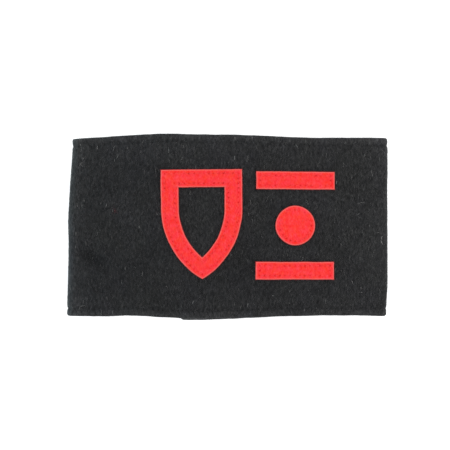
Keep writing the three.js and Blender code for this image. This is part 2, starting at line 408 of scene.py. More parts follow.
# The colours of thread and fibre, from the darkest of a kind to its lightest.
STRANDS = {
    "black_thread": ((0.006, 0.006, 0.007), (0.018, 0.018, 0.02)),
    "red_thread": ((0.84, 0.033, 0.036), (0.97, 0.055, 0.058)),
    "red_fibre": ((0.6, 0.015, 0.02), (0.85, 0.09, 0.085)),
    "dull_red_fibre": ((0.06, 0.012, 0.017), (0.24, 0.05, 0.065)),
    "grey_fibre": ((0.017, 0.0172, 0.018), (0.138, 0.138, 0.142)),
    "dark_fibre": ((0.004, 0.004, 0.0045), (0.02, 0.02, 0.022)),
    "pale_hair": ((0.08, 0.078, 0.075), (0.62, 0.61, 0.59)),
}

# The photograph: its pixel at the height of the folds, and where the loop's middle is in it.
PHOTO_SIZE = 450
PIXEL = 0.6287
PHOTO_MIDDLE_X = 227.4
PHOTO_MIDDLE_Y = 226.8
CAMERA_HEIGHT = 800.0
SCALE_HEIGHT = 5.0
SENSOR = 36.0

# The white table, which glows a little as in a light tent, and the lights: the place and the size of each
# in metres, its power and its colour.
FLOOR_SIZE = 4000.0
FLOOR_DROP = 0.1
FLOOR_WHITE = (0.9, 0.9, 0.9, 1)
FLOOR_GLOW = 0.5
WHITE = (1, 1, 1, 1)
LIGHTS = (
    ("left_softbox", (-1.2, 0.05, 0.12), 0.4, 11.0, (0.5, 0.88, 1.0)),
    ("right_softbox", (0.3, 0.0, 0.45), 0.5, 0.95, (0.97, 0.98, 1.0)),
)

# After how many cells noise repeats, from which slope up a thread is steep, and how near points are one.
NOISE_CELLS = 512
STEEP = 0.8
MERGE_DISTANCE = 0.01


# Tables, noise and meshes


def read_table(table, key, column, at):
    """Reads a column at any places, on a smooth curve through the table's rows."""
    keys = np.asarray(table[key], float)
    values = np.asarray(table[column], float)
    rows = np.arange(len(keys))
    before = np.maximum(rows - 1, 0)
    after = np.minimum(rows + 1, len(keys) - 1)
    slopes = (values[after] - values[before]) / (keys[after] - keys[before])
    place = np.clip(at, keys[0], keys[-1])
    low = np.clip(np.searchsorted(keys, place, side="left") - 1, 0, len(keys) - 2)
    span = keys[low + 1] - keys[low]
    t = (place - keys[low]) / span
    straight = values[low] + (values[low + 1] - values[low]) * t * t * (3 - 2 * t)
    leaving = t * (1 - t) ** 2 * span * slopes[low]
    arriving = t * t * (1 - t) * span * slopes[low + 1]
    return straight + leaving - arriving


def named_rows(columns, rows):
    """The rows of a table as dictionaries by the names of its columns."""
    return [dict(zip(columns, row)) for row in rows]


def smooth_step(value, low, high):
    share = np.clip((value - low) / (high - low), 0, 1)
    return share * share * (3 - 2 * share)


def ridge(distance, width):
    """A smooth ridge one unit high."""
    return np.exp(-((distance / width) ** 2))


def noise(x, y, cell, seed):
    """Smooth noise from -1 to 1 over a plane, on a seeded lattice with cells of that size."""
    lattice = np.random.default_rng(seed).uniform(-1, 1, (NOISE_CELLS, NOISE_CELLS))
    u, v = np.broadcast_arrays(np.asarray(x, float) / cell, np.asarray(y, float) / cell)
    left, low = np.floor(u).astype(int), np.floor(v).astype(int)
    s, t = smooth_step(u - left, 0, 1), smooth_step(v - low, 0, 1)

    def at(right, up):
        return lattice[(left + right) % NOISE_CELLS, (low + up) % NOISE_CELLS]

    below = at(0, 0) * (1 - s) + at(1, 0) * s
    above = at(0, 1) * (1 - s) + at(1, 1) * s
    return below * (1 - t) + above * t


def layered_noise(x, y, layers, seed):
    """Layers of noise over a plane, each with its amount and its width, and seeded one after another."""
    return sum(amount * noise(x, y, width, seed + index) for index, (amount, width) in enumerate(layers))


def turned(x, y, degrees):
    """A place turned anticlockwise about the middle."""
    turn = math.radians(degrees)
    return x * math.cos(turn) - y * math.sin(turn), x * math.sin(turn) + y * math.cos(turn)


def spread(start, end, step):
    """Evenly spaced values from start to end, no further apart than step."""
    return np.linspace(start, end, int(math.ceil(abs(end - start) / step)) + 1)


def unit(vectors):
    return vectors / np.linalg.norm(vectors, axis=-1, keepdims=True)


def ring_faces(rings, around, closed=False):
    """Quads between rings of points that are numbered one after another."""
    ring = np.arange(rings if closed else rings - 1)[:, None]
    point = np.arange(around)[None, :]
    next_ring, next_point = (ring + 1) % rings, (point + 1) % around
    places = ((ring, point), (ring, next_point), (next_ring, next_point), (next_ring, point))
    corners = [start * around + along for start, along in places]
    return np.stack(np.broadcast_arrays(*corners), axis=-1).reshape(-1, 4)


def new_mesh(name, points, faces, values):
    """A smooth mesh from points in millimetres, arrays of faces, and named values of the points."""
    corners = np.concatenate([block.ravel() for block in faces]).astype(np.int32)
    sizes = np.concatenate([np.full(len(block), block.shape[1]) for block in faces])
    mesh = bpy.data.meshes.new(name)
    mesh.vertices.add(len(points))
    mesh.vertices.foreach_set("co", (points * MM).astype(np.float32).ravel())
    mesh.loops.add(len(corners))
    mesh.loops.foreach_set("vertex_index", corners)
    mesh.polygons.add(len(sizes))
    mesh.polygons.foreach_set("loop_start", (np.cumsum(sizes) - sizes).astype(np.int32))
    mesh.polygons.foreach_set("use_smooth", np.ones(len(sizes), bool))
    mesh.update(calc_edges=True)
    for key, value in values.items():
        mesh.attributes.new(key, "FLOAT", "POINT").data.foreach_set("value", value.astype(np.float32))
    shape = bmesh.new()
    shape.from_mesh(mesh)
    bmesh.ops.remove_doubles(shape, verts=shape.verts, dist=MERGE_DISTANCE * MM)
    if shape.calc_volume(signed=True) < 0:
        bmesh.ops.reverse_faces(shape, faces=shape.faces)
    shape.to_mesh(mesh)
    shape.free()
    return mesh


def add_piece(mesh, material):
    """Puts a mesh in the scene as a piece of the part."""
    mesh.materials.append(material)
    piece = bpy.data.objects.new(mesh.name, mesh)
    bpy.context.collection.objects.link(piece)
    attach(piece, BODY)
    return piece


def rings_along(paths, radii, sides):
    """Rings of points round each point of many paths: an array of path, step, side and axis."""
    forward = unit(np.gradient(paths, axis=1))
    chord = unit(paths[:, -1:] - paths[:, :1])
    helper = np.where(np.abs(chord[..., 2:]) > STEEP, (1.0, 0.0, 0.0), (0.0, 0.0, 1.0))
    across = unit(np.cross(chord, helper))
    side = unit(across - (across * forward).sum(axis=-1, keepdims=True) * forward)
    up = np.cross(forward, side)
    angle = 2 * math.pi * np.arange(sides)[:, None] / sides
    ring = side[:, :, None] * np.cos(angle) + up[:, :, None] * np.sin(angle)
    return paths[:, :, None] + ring * np.broadcast_to(radii, paths.shape[:2])[:, :, None, None]


def repeated(faces, count, points_each):
    """One body's faces, repeated for many bodies whose points follow one another."""
    starts = np.arange(count)[:, None, None] * points_each
    return (np.asarray(faces)[None] + starts).reshape(-1, len(faces[0]))


def add_threads(name, paths, radius, material):
    """Closed lengths of thread along many paths, as one piece, each with a shade of its own."""
    count, steps = paths.shape[:2]
    each = steps * THREAD_SIDES
    points = rings_along(paths, radius, THREAD_SIDES).reshape(-1, 3)
    walls = ring_faces(steps, THREAD_SIDES)
    cap = np.arange(THREAD_SIDES)
    caps = np.array([cap[::-1], cap + each - THREAD_SIDES])
    faces = [repeated(block, count, each) for block in (walls, caps)]
    shade = np.random.default_rng(THREAD_SEED).uniform(0, 1, count)
    add_piece(new_mesh(name, points, faces, {"shade": np.repeat(shade, each)}), material)


def add_fibres(name, paths, radii, shade, material):
    """Closed fibres with pointed ends along many paths, as one piece, each with its own shade."""
    count, steps = paths.shape[:2]
    rings = rings_along(paths, radii, FIBRE_SIDES)[:, 1:-1].reshape(count, -1, 3)
    points = np.concatenate([paths[:, :1], rings, paths[:, -1:]], axis=1)
    each = points.shape[1]
    last = each - 1
    quads = ring_faces(steps - 2, FIBRE_SIDES) + 1
    side = np.arange(FIBRE_SIDES)
    next_side = np.roll(side, -1)
    first_tip = np.column_stack([0 * side, 1 + next_side, 1 + side])
    last_tip = last - np.column_stack([0 * side, FIBRE_SIDES - side, FIBRE_SIDES - next_side])
    faces = [repeated(block, count, each) for block in (quads, np.vstack([first_tip, last_tip]))]
    values = {"shade": np.repeat(shade.ravel(), each)}
    add_piece(new_mesh(name, points.reshape(-1, 3), faces, values), material)


# The shape of the cloth


def crown_height(x):
    return read_table(CROWN, "along", "height", x)


def fold_shift(x, y):
    """How far the cloth shifts along the loop because the folds aren't quite straight."""
    share = np.clip((x - LEFT_END) / (RIGHT_END - LEFT_END), 0, 1)
    left, right = (read_table(FOLD_LINES, "across", side, y) for side in ("left", "right"))
    return left * (1 - share) + right * share


def panel(x, z, edges):
    """A run of the strip's middle line, with columns x, z, top edge and bottom edge."""
    sides = [read_table(edges, "along", side, x) for side in ("top", "bottom")]
    return np.column_stack([x, z * np.ones_like(x), *sides])


def fold_turn(centre, side, low, high, upward):
    """A fold, turned through half a circle from the back to the front, or the other way."""
    share = np.arange(1, FOLD_STEPS) / FOLD_STEPS
    share = share if upward else 1 - share
    x = centre + side * (high[1] - low[1]) / 2 * np.sin(math.pi * share)
    z = low[1] + (high[1] - low[1]) * (1 - np.cos(math.pi * share)) / 2
    edges = low[2:] * (1 - share[:, None]) + high[2:] * share[:, None]
    return np.column_stack([x, z, edges])


def middle_line():
    """The strip's middle line from the lap's inner to its outer end, and which rows are the front."""
    left = LEFT_END + LEFT_FOLD_RADIUS
    right = RIGHT_END - RIGHT_FOLD_RADIUS
    x = spread(INNER_LAP_END, left, STRIP_STEP)
    inner = panel(x, HALF_WALL + (WALL + GAP) * smooth_step(x, CLIMB_START, CLIMB_END), INNER_BACK_EDGES)
    x = spread(left, right, STRIP_STEP)
    front = panel(x, crown_height(x), FRONT_EDGES)
    outer = panel(spread(right, OUTER_LAP_END, STRIP_STEP), HALF_WALL, OUTER_BACK_EDGES)
    left_fold = fold_turn(left, -1, inner[-1], front[0], True)
    right_fold = fold_turn(right, 1, outer[0], front[-1], False)
    start = len(inner) + len(left_fold)
    return np.vstack([inner, left_fold, front, right_fold, outer]), slice(start, start + len(front))


LINE, FRONT_ROWS = middle_line()
LINE_X, LINE_Z, LINE_TOP, LINE_BOTTOM = LINE.T
LENGTH_AT = np.concatenate([[0], np.cumsum(np.hypot(np.diff(LINE_X), np.diff(LINE_Z)))])
STRIP_LENGTH = LENGTH_AT[-1]
SEAMS_INSIDE = INNER_LAP_END - SEAM_ROWS
SEAMS_OUTSIDE = STRIP_LENGTH - (SEAM_ROWS - OUTER_LAP_END)
FORWARD_X = np.gradient(LINE_X, LENGTH_AT)
FORWARD_Z = np.gradient(LINE_Z, LENGTH_AT)
FRONT_ENDS = LENGTH_AT[FRONT_ROWS][[0, -1]]
FIBRE_PLACES = {
    "front": FRONT_ENDS + math.pi * LEFT_FOLD_RADIUS * np.array((-1, 1)),
    "strip": (FIBRE_MARGIN, STRIP_LENGTH - FIBRE_MARGIN),
}
FOLD_AT = {"left": LENGTH_AT[LINE_X.argmin()], "right": LENGTH_AT[LINE_X.argmax()]}

# The CAD model stands in the middle of its own box, and the tables start from the photograph's middle.
SHIFT_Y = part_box("band")[1][1] / MM - max(FRONT_EDGES["top"])


def along_line(column, s):
    return np.interp(s, LENGTH_AT, column)


def length_on_front(x):
    """Where along the strip the front has this x."""
    return np.interp(x, LINE_X[FRONT_ROWS], LENGTH_AT[FRONT_ROWS])


def crease(x, y):
    """The shallow crease near the left fold, from 0 beside it to 1 in its middle."""
    along, beside = turned(x - CREASE_X, y - CREASE_Y, -CREASE_TURN)
    return ridge(along, CREASE_LENGTH) * ridge(beside, CREASE_WIDTH)


def swell(x, y):
    """The soft unevenness of the front, which the felt follows."""
    inside = smooth_step(x - LEFT_END, *SWELL_ENDS) * smooth_step(RIGHT_END - x, *SWELL_ENDS)
    return layered_noise(x, y, SWELL, SWELL_SEED) * inside - CREASE_DEPTH * crease(x, y)


def front_top(x, y):
    """Height of the front's outer face at a place seen from above."""
    on_strip = x - fold_shift(x, y)
    return crown_height(on_strip) + HALF_WALL + swell(on_strip, y)


def cloth_points(s, y, height):
    """Points of the cloth: s along the strip, y across it, and the height outward from its middle."""
    s, y, height = np.broadcast_arrays(s, y, height)
    outward_x = -along_line(FORWARD_Z, s)
    outward_z = along_line(FORWARD_X, s)
    x = along_line(LINE_X, s)
    z = along_line(LINE_Z, s) + swell(x, y) * smooth_step(outward_z, *SWELL_FACING)
    x_out = x + outward_x * height + fold_shift(x, y)
    return np.stack([x_out, y + SHIFT_Y, np.maximum(z + outward_z * height, 0)], axis=-1)


def corner(s):
    """How far the rounded corners draw the long edges in at the strip's two ends."""
    from_end = np.clip(np.minimum(s, STRIP_LENGTH - s), 0, CORNER_RADIUS)
    return CORNER_RADIUS - np.sqrt(CORNER_RADIUS ** 2 - (CORNER_RADIUS - from_end) ** 2)


def top_edge(s):
    return along_line(LINE_TOP, s) + layered_noise(s, 0, WANDER, TOP_SEED) - corner(s)


def bottom_edge(s):
    return along_line(LINE_BOTTOM, s) + layered_noise(s, 0, WANDER, BOTTOM_SEED) + corner(s)


def inset_from_edge(s, y):
    """How far a place lies inside the nearer long edge."""
    return np.minimum(top_edge(s) - y, y - bottom_edge(s))


def cloth_height(s, y):
    """Half thickness of the cloth at a place, without the puckers of its groove."""
    return np.interp(inset_from_edge(s, y), EDGE_INSETS[RIM_ROW:], EDGE_HEIGHTS[RIM_ROW:])


def felted(s, y, half_thickness):
    """The felted unevenness of the cloth, which fades out at its rims."""
    return layered_noise(s, y, FELTING, FELTING_SEED) * np.clip(half_thickness, 0, 1)


def patches(x, y):
    """How much lighter or darker the front's patches make a place."""
    return sum(
        amount * ridge(np.hypot(x - patch_x, y - patch_y), reach)
        for patch_x, patch_y, reach, amount in PATCHES
    )


def cloth_tone_and_light(s, y):
    """How light the cloth is at a place, as a share of its usual shade, with its painted light and shade."""
    inset = inset_from_edge(s, y)
    x = along_line(LINE_X, s)
    # Lighter rims: partly wear, partly painted light that the rims catch.
    worn_and_lit = RIM_WEAR_AND_LIGHT * (1 - smooth_step(inset, *RIM_WEAR_AND_LIGHT_ENDS))
    # Painted light on the puff inside the topstitching.
    puff_lit = PUFF_PAINTED_LIGHT * ridge(inset - PUFF_INSET, PUFF_WIDTH)
    # Painted shade in the grooves, deepest at the needle holes.
    stitched = 1 + STITCH_SHADE * np.cos(2 * math.pi * s / STITCH)
    grooved = GROOVE_SHADE * stitched * ridge(inset - GROOVE_INSET, GROOVE_SHADE_WIDTH)
    # Painted light on the folds, painted shade on the tight fold's line and inward of the loose one.
    fold_lit_and_shaded = sum(
        amount * ridge(s - FOLD_AT[side] - from_fold, width) for side, from_fold, width, amount in FOLD_LIGHT_AND_SHADE
    )
    # Painted light, a little stronger to the right and the top.
    lit_up_and_right = PAINTED_LIGHT_RIGHTWARD * x / RIGHT_END + PAINTED_LIGHT_UPWARD * y / (CLOTH_WIDTH / 2)
    # Painted shade in the crease.
    creased = CREASE_SHADE * crease(x, y) * (s > FOLD_AT["left"])
    patched = patches(x, y) * np.clip(along_line(FORWARD_X, s), 0, 1)
    clouded = layered_noise(s, y, CLOUDS, CLOUDS_SEED)
    return 1 + worn_and_lit + puff_lit - grooved + fold_lit_and_shaded + lit_up_and_right - creased + patched + clouded


# Where painted light goes on the lap's lower rim.
def lap_rim(s, y):
    """The lap's lower rim where it sticks out, from 0 beside it to 1 on it."""
    return ridge(STRIP_LENGTH - s, LAP_PAINTED_LIGHT_LENGTH) * ridge(y - bottom_edge(s), LAP_PAINTED_LIGHT_WIDTH)


def drawn_in(s, seams):
    """How strongly rows of sewing draw the cloth in, from 0 beside them to 1 on them."""
    return sum(ridge(s - seam, SEAM_DENT_WIDTH) for seam in seams)


# Materials


def set_inputs(node, values):
    for name, value in values.items():
        node.inputs[name].default_value = value


def new_material(name, kind):
    """A material with the surface of its kind: the material, its nodes and its shader."""
    roughness, sheen, tint, specular = SURFACES[kind]
    material = bpy.data.materials.new(name)
    material.use_nodes = True
    shader = material.node_tree.nodes["Principled BSDF"]
    set_inputs(shader, {"Roughness": roughness, "Specular IOR Level": specular})
    set_inputs(shader, {"Sheen Weight": sheen, "Sheen Roughness": SHEEN_ROUGHNESS, "Sheen Tint": (*tint, 1)})
    return material, material.node_tree, shader


def stretched_noise(tree, scale, stretch, turn, detail):
    """Noise in the frame's metres, stretched along Y and then turned about Z."""
    place = tree.nodes.new("ShaderNodeTexCoord")
    mapping = tree.nodes.new("ShaderNodeMapping")
    mapping.vector_type = "TEXTURE"
    set_inputs(mapping, {"Rotation": (0, 0, math.radians(turn)), "Scale": (1, stretch, 1)})
    texture = tree.nodes.new("ShaderNodeTexNoise")
    set_inputs(texture, {"Scale": scale, "Detail": detail, "Roughness": NOISE_ROUGHNESS})
    tree.links.new(place.outputs["Object"], mapping.inputs["Vector"])
    tree.links.new(mapping.outputs["Vector"], texture.inputs["Vector"])
    return texture.outputs["Fac"]


def ramp(tree, source, low, low_colour, high, high_colour):
    """Turns a number into a colour between the two, from low to high."""
    node = tree.nodes.new("ShaderNodeValToRGB")
    first, last = node.color_ramp.elements
    first.position, first.color = low, (*low_colour, 1)
    last.position, last.color = high, (*high_colour, 1)
    tree.links.new(source, node.inputs["Fac"])
    return node.outputs["Color"]


def mix(tree, kind, first, second, share=1.0):
    """Mixes two colours, each a socket or a value."""
    node = tree.nodes.new("ShaderNodeMix")
    node.data_type = "RGBA"
    node.blend_type = kind
    for index, value in zip(MIX_INPUTS, (share, first, second)):
        if isinstance(value, bpy.types.NodeSocket):
            tree.links.new(value, node.inputs[index])
        else:
            node.inputs[index].default_value = (*value, 1) if isinstance(value, tuple) else value
    return node.outputs[MIX_OUTPUT]


def attribute(tree, name):
    node = tree.nodes.new("ShaderNodeAttribute")
    node.attribute_name = name
    return node.outputs["Fac"]


def textured_material(name, kind):
    """A material bumped by its kind's noise: also its nodes, its colour socket and the noise's colours."""
    material, tree, shader = new_material(name, kind)
    noises = {layer: stretched_noise(tree, *row) for layer, row in NOISES[kind].items()}
    normal = None
    for layer, (depth, strength) in BUMPS[kind].items():
        node = tree.nodes.new("ShaderNodeBump")
        set_inputs(node, {"Distance": depth, "Strength": strength})
        tree.links.new(noises[layer], node.inputs["Height"])
        if normal is not None:
            tree.links.new(normal, node.inputs["Normal"])
        normal = node.outputs["Normal"]
    tree.links.new(normal, shader.inputs["Normal"])
    colours = {layer: ramp(tree, noises[layer], *row) for layer, row in RAMPS[kind].items()}
    return material, tree, shader.inputs["Base Color"], colours


def wool_material():
    material, tree, surface, colours = textured_material("felted_wool", "wool")
    colour = mix(tree, "ADD", colours["streaks"], colours["crossing"])
    colour = mix(tree, "ADD", colour, colours["leaning"])
    colour = mix(tree, "MULTIPLY", colour, colours["clouds"])
    # The tone multiplies in the cloth's cloudiness and wear with its painted light and shade.
    colour = mix(tree, "MULTIPLY", colour, attribute(tree, "tone_and_light"))
    tree.links.new(colour, surface)
    return material


def felt_material():
    material, tree, surface, colours = textured_material("red_felt", "felt")
    colour = mix(tree, "MULTIPLY", colours["strands"], colours["blotches"])
    colour = mix(tree, "MULTIPLY", colour, colours["casts"])
    for place, tint in FELT_TINTS.items():
        colour = mix(tree, "MIX", colour, tint, attribute(tree, place))
    tree.links.new(colour, surface)
    return material


def strand_material(name):
    """Thread or fibre, each between the two colours by its own shade, with a twist along it."""
    dark, light = STRANDS[name]
    material, tree, surface, colours = textured_material(name, "strand")
    colour = mix(tree, "MIX", dark, light, attribute(tree, "shade"))
    tree.links.new(mix(tree, "MULTIPLY", colour, colours["twist"]), surface)
    return material


# The band of wool


def cloth_sections(s):
    """For each station, the places across the cloth and its half thickness there."""
    top, bottom = top_edge(s), bottom_edge(s)
    pucker = GROOVE_DIP * np.cos(2 * math.pi * s / STITCH)
    edge = EDGE_HEIGHTS - pucker * ridge(EDGE_INSETS - GROOVE_INSET, GROOVE_WIDTH)
    margin = EDGE_INSETS[-1]
    share = spread(0, 1, ACROSS_STEP / (CLOTH_WIDTH - 2 * margin))[1:-1]
    middle = (top - margin) * (1 - share) + (bottom + margin) * share
    y = np.hstack([top - EDGE_INSETS, middle, (bottom + EDGE_INSETS)[:, ::-1]])
    return y, np.hstack([edge, np.full(middle.shape, EDGE_HEIGHTS[-1]), edge[:, ::-1]])


def end_caps(rows, around):
    """Ladders of faces over both ends of the strip: quads and triangles."""
    rim = around // 2
    rung = np.arange(1, rim - 1)
    quads = np.column_stack([rung + 1, rung, around - rung, around - rung - 1])
    triangles = np.array([(1, 0, around - 1), (rim, rim - 1, rim + 1)])
    last = (rows - 1) * around
    return [np.concatenate([block, block[:, ::-1] + last]) for block in (quads, triangles)]


def add_wool_band(material):
    ends = END_ROUNDING * np.array(END_STATIONS)
    stations = [LENGTH_AT, ends, SEAMS_INSIDE, SEAMS_OUTSIDE, STRIP_LENGTH - ends]
    s = np.unique(np.concatenate(stations))[:, None]
    y, level = cloth_sections(s)
    from_end = np.minimum(s, STRIP_LENGTH - s) / END_ROUNDING
    level = level * np.sqrt(1 - np.clip(1 - from_end, 0, END_ROUNDNESS) ** 2)
    lumps = felted(s, y, level)
    sewn_outside, sewn_inside = drawn_in(s, SEAMS_OUTSIDE), drawn_in(s, SEAMS_INSIDE)
    outside = cloth_points(s, y, level + lumps - SEAM_DENT * sewn_outside)
    inside = cloth_points(s, y, lumps - level + SEAM_DENT * sewn_inside)
    rings = np.concatenate([outside, inside[:, ::-1][:, 1:-1]], axis=1)
    # The tone carries the cloth's cloudiness and wear with painted light and shade, and painted shade in the
    # seam dents.
    tone_and_light = cloth_tone_and_light(s, y)
    # Painted light on the lap's lower rim, on the face that looks up.
    inside_tone_and_light = tone_and_light - SEAM_SHADE * sewn_inside + LAP_PAINTED_LIGHT * lap_rim(s, y)
    tone_and_light = np.concatenate([tone_and_light - SEAM_SHADE * sewn_outside, inside_tone_and_light[:, ::-1][:, 1:-1]], axis=1)
    rows, around = rings.shape[:2]
    faces = [ring_faces(rows, around), *end_caps(rows, around)]
    mesh = new_mesh("wool_band", rings.reshape(-1, 3), faces, {"tone_and_light": tone_and_light.ravel()})
    piece = add_piece(mesh, material)
    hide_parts("band")
    return piece


def add_topstitching(material):
    """Thread in the grooves along both long edges, on both faces of the cloth."""
    first_hole = STITCH * np.arange(1, int(STRIP_LENGTH / STITCH) - 1)[:, None]
    s = first_hole + STITCH * ARCH_SHARES
    rows = (top_edge(s) - GROOVE_INSET, bottom_edge(s) + GROOVE_INSET)
    paths = [cloth_points(s, y, face * (GROOVE_FLOOR + ARCH_RISES)) for face in (1, -1) for y in rows]
    add_threads("topstitching", np.concatenate(paths), WOOL_THREAD, material)


def add_seam_stitching(material):
    """The lap's two rows of sewing, on the lower layer's underside and on the upper layer's inside."""
    top = OUTER_BACK_EDGES["top"][0] - SEAM_MARGIN
    bottom = INNER_BACK_EDGES["bottom"][-1] + SEAM_MARGIN
    y = np.arange(bottom, top, STITCH)[:, None] + STITCH * ARCH_SHARES
    rise = SEAM_THREAD_RISE + np.minimum(ARCH_RISES, ARCH_RISES * SEAM_REACH)
    height = HALF_WALL - SEAM_DENT + rise
    paths = [cloth_points(seam, y, height) for seam in SEAMS_OUTSIDE]
    paths += [cloth_points(seam, y, -height) for seam in SEAMS_INSIDE]
    add_threads("seam_stitching", np.concatenate(paths), WOOL_THREAD, material)


# The felt cut-outs


def straight(start, end, length):
    """Points along a side up to its end, as many as a side of that length takes."""
    count = math.ceil(length / FELT_STEP)
    share = np.arange(count)[:, None] / count
    return np.asarray(start) * (1 - share) + np.asarray(end) * share


def curved(x, y, radius, start, end, length):
    """Points along an arc up to its end, as many as an arc of that length takes."""
    angle = np.linspace(start, end, math.ceil(length / FELT_STEP), endpoint=False)
    return np.column_stack([x + radius * np.cos(angle), y + radius * np.sin(angle)])


def shield_sides(inset):
    """The shield drawn that far inside its outline: straight top and sides, and two arcs to its point."""
    half = SHIELD_WIDTH / 2
    drop = SHIELD_HEIGHT - SHIELD_SHOULDER
    arc_x = (drop * drop - half * half) / SHIELD_WIDTH
    arc_y = SHIELD_HEIGHT / 2 - SHIELD_SHOULDER
    radius = half + arc_x - inset
    turn = math.acos(arc_x / radius)
    right, top = half - inset, SHIELD_HEIGHT / 2 - inset
    return [
        straight((-right, top), (-right, arc_y), SHIELD_SHOULDER),
        curved(arc_x, arc_y, radius, math.pi, math.pi + turn, drop),
        curved(-arc_x, arc_y, radius, -turn, 0, drop),
        straight((right, arc_y), (right, top), SHIELD_SHOULDER),
        straight((right, top), (-right, top), SHIELD_WIDTH),
    ]


def bar_sides(inset):
    x, y = BAR_LENGTH / 2 - inset, STROKE / 2 - inset
    corners = ((-x, -y), (x, -y), (x, y), (-x, y), (-x, -y))
    lengths = (BAR_LENGTH, STROKE, BAR_LENGTH, STROKE)
    return [straight(*side) for side in zip(corners, corners[1:], lengths)]


def disc_sides(inset):
    return [curved(0, 0, DISC_RADIUS - inset, 0, 2 * math.pi, 2 * math.pi * DISC_RADIUS)]


def shield_area():
    """The shield's stroke, as the outline less its window, by the shoelace rule."""
    areas = []
    for inset in (0, STROKE):
        x, y = np.vstack(shield_sides(inset)).T
        areas.append(abs(np.dot(x, np.roll(y, -1)) - np.dot(y, np.roll(x, -1))) / 2)
    return areas[0] - areas[1]


SHAPES = {
    "shield": {
        "sides": shield_sides,
        "insets": np.concatenate([FELT_INSETS, STROKE - FELT_INSETS[-2::-1]]),
        "rows": (FELT_STITCH_INSET, STROKE - FELT_STITCH_INSET),
        "flat": (SHIELD_WIDTH, SHIELD_HEIGHT),
        "area": shield_area(),
    },
    "bar": {
        "sides": bar_sides,
        "insets": FELT_INSETS,
        "rows": (FELT_STITCH_INSET,),
        "flat": (STROKE, BAR_LENGTH),
        "area": STROKE * BAR_LENGTH,
    },
    "disc": {
        "sides": disc_sides,
        "insets": np.concatenate([FELT_INSETS, spread(FELT_INSETS[-1], DISC_RADIUS, DISC_STEP)[1:]]),
        "rows": (FELT_STITCH_INSET,),
        "flat": (2 * DISC_RADIUS, 2 * DISC_RADIUS),
        "area": math.pi * DISC_RADIUS ** 2,
    },
}


def needle_holes(sides, rng):
    """Where the needle went in along each side of a row, with a whole number of stitches to a side."""
    holes = []
    for index, points in enumerate(sides):
        line = np.vstack([points, sides[(index + 1) % len(sides)][:1]])
        length = np.concatenate([[0], np.cumsum(np.hypot(*np.diff(line, axis=0).T))])
        count = max(1, round(length[-1] / STITCH))
        at = np.linspace(0, length[-1], count, endpoint=False)
        at[1:] += rng.uniform(-STITCH_JITTER, STITCH_JITTER, count - 1)
        holes.append(np.column_stack([np.interp(at, length, axis) for axis in line.T]))
    return np.vstack(holes)


def dimples(flat, holes, rng):
    """How strongly the holes draw each place down, some pulled tight and some hardly."""
    strengths = rng.uniform(*DIMPLE_STRENGTH, len(holes))
    drawn = [
        strength * ridge(np.hypot(*(flat - hole).transpose(2, 0, 1)), DIMPLE_RADIUS)
        for strength, hole in zip(strengths, holes)
    ]
    return np.max(drawn, axis=0)


def on_front(cut_out, flat, height):
    """Lays points of a cut-out on the front, each at its height above the felt's underside."""
    x, y = turned(flat[..., 0], flat[..., 1], cut_out["lean"])
    x, y = x + cut_out["x"], y + cut_out["y"]
    x, y = (place + layered_noise(x, y, CUT_WANDER, seed) for place, seed in zip((x, y), CUT_SEEDS))
    return np.stack([x, y + SHIFT_Y, front_top(x, y) + FELT_LIFT + height], axis=-1)


def felt_height(flat, from_edge, dimple, seed):
    """Height of a cut-out's top: full inside its cut edge, matted, and drawn down by its sewing."""
    full = np.interp(from_edge, CUT_EDGE["inset"], CUT_EDGE["share"]) * FELT_THICKNESS
    lumps = noise(flat[..., 0], flat[..., 1], MATTED_WIDTH, seed)
    matted = MATTED_HEIGHT * lumps * np.clip(from_edge, 0, 1)
    groove = ridge(from_edge - FELT_STITCH_INSET, FELT_GROOVE_WIDTH)
    return full + matted - DIMPLE_DEPTH * dimple - FELT_GROOVE_DEPTH * groove


def felt_stitches(cut_out, rows):
    """Paths of the stitches from each hole of a row to the next."""
    holes = np.vstack(rows)
    ahead = np.vstack([np.roll(row, -1, axis=0) for row in rows])
    chords = holes[:, None] + (ahead - holes)[:, None] * ARCH_SHARES[:, None]
    return on_front(cut_out, chords, FELT_THICKNESS - FELT_GROOVE_DEPTH + ARCH_RISES)


def add_felt(cut_out, material):
    """Adds a cut-out: the points of its top, the room that each of them has, and its stitches' paths."""
    shape = SHAPES[cut_out["shape"]]
    insets = shape["insets"]
    is_ring = len(shape["rows"]) > 1
    under = np.append(insets[:-1:UNDERSIDE_STEP], insets[-1])[::-1]
    rings = np.concatenate([under, insets])
    flat = np.stack([np.vstack(shape["sides"](inset)) for inset in rings])
    from_edge = rings[:, None] * np.ones(flat.shape[1])
    if is_ring:
        from_edge = np.minimum(from_edge, STROKE - from_edge)
    rng = np.random.default_rng(cut_out["seed"])
    rows = [needle_holes(shape["sides"](row), rng) for row in shape["rows"]]
    dimple = dimples(flat, np.vstack(rows), rng)
    height = felt_height(flat, from_edge, dimple, cut_out["seed"])
    height[: len(under)] = 0
    points = on_front(cut_out, flat, height)
    # The needle holes and the cut edge's foot get painted shade; the pale line is partly a painted
    # highlight.
    values = {
        "needle_hole_shade": dimple.ravel(),
        "pale_edge": ridge(from_edge - PALE_EDGE_INSET, PALE_EDGE_WIDTH).ravel(),
        "foot_shade": 1 - smooth_step(from_edge, *FOOT_SHADE_ENDS).ravel(),
    }
    faces = ring_faces(*flat.shape[:2], closed=is_ring)
    mesh = new_mesh(cut_out["piece"], points.reshape(-1, 3), [faces], values)
    piece = add_piece(mesh, material)
    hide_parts(cut_out["node"])
    top = points[len(under):]
    room = np.linalg.norm(np.roll(top, -1, axis=1) - top, axis=2)
    return top.reshape(-1, 3), room.ravel(), felt_stitches(cut_out, rows)


# Loose fibres


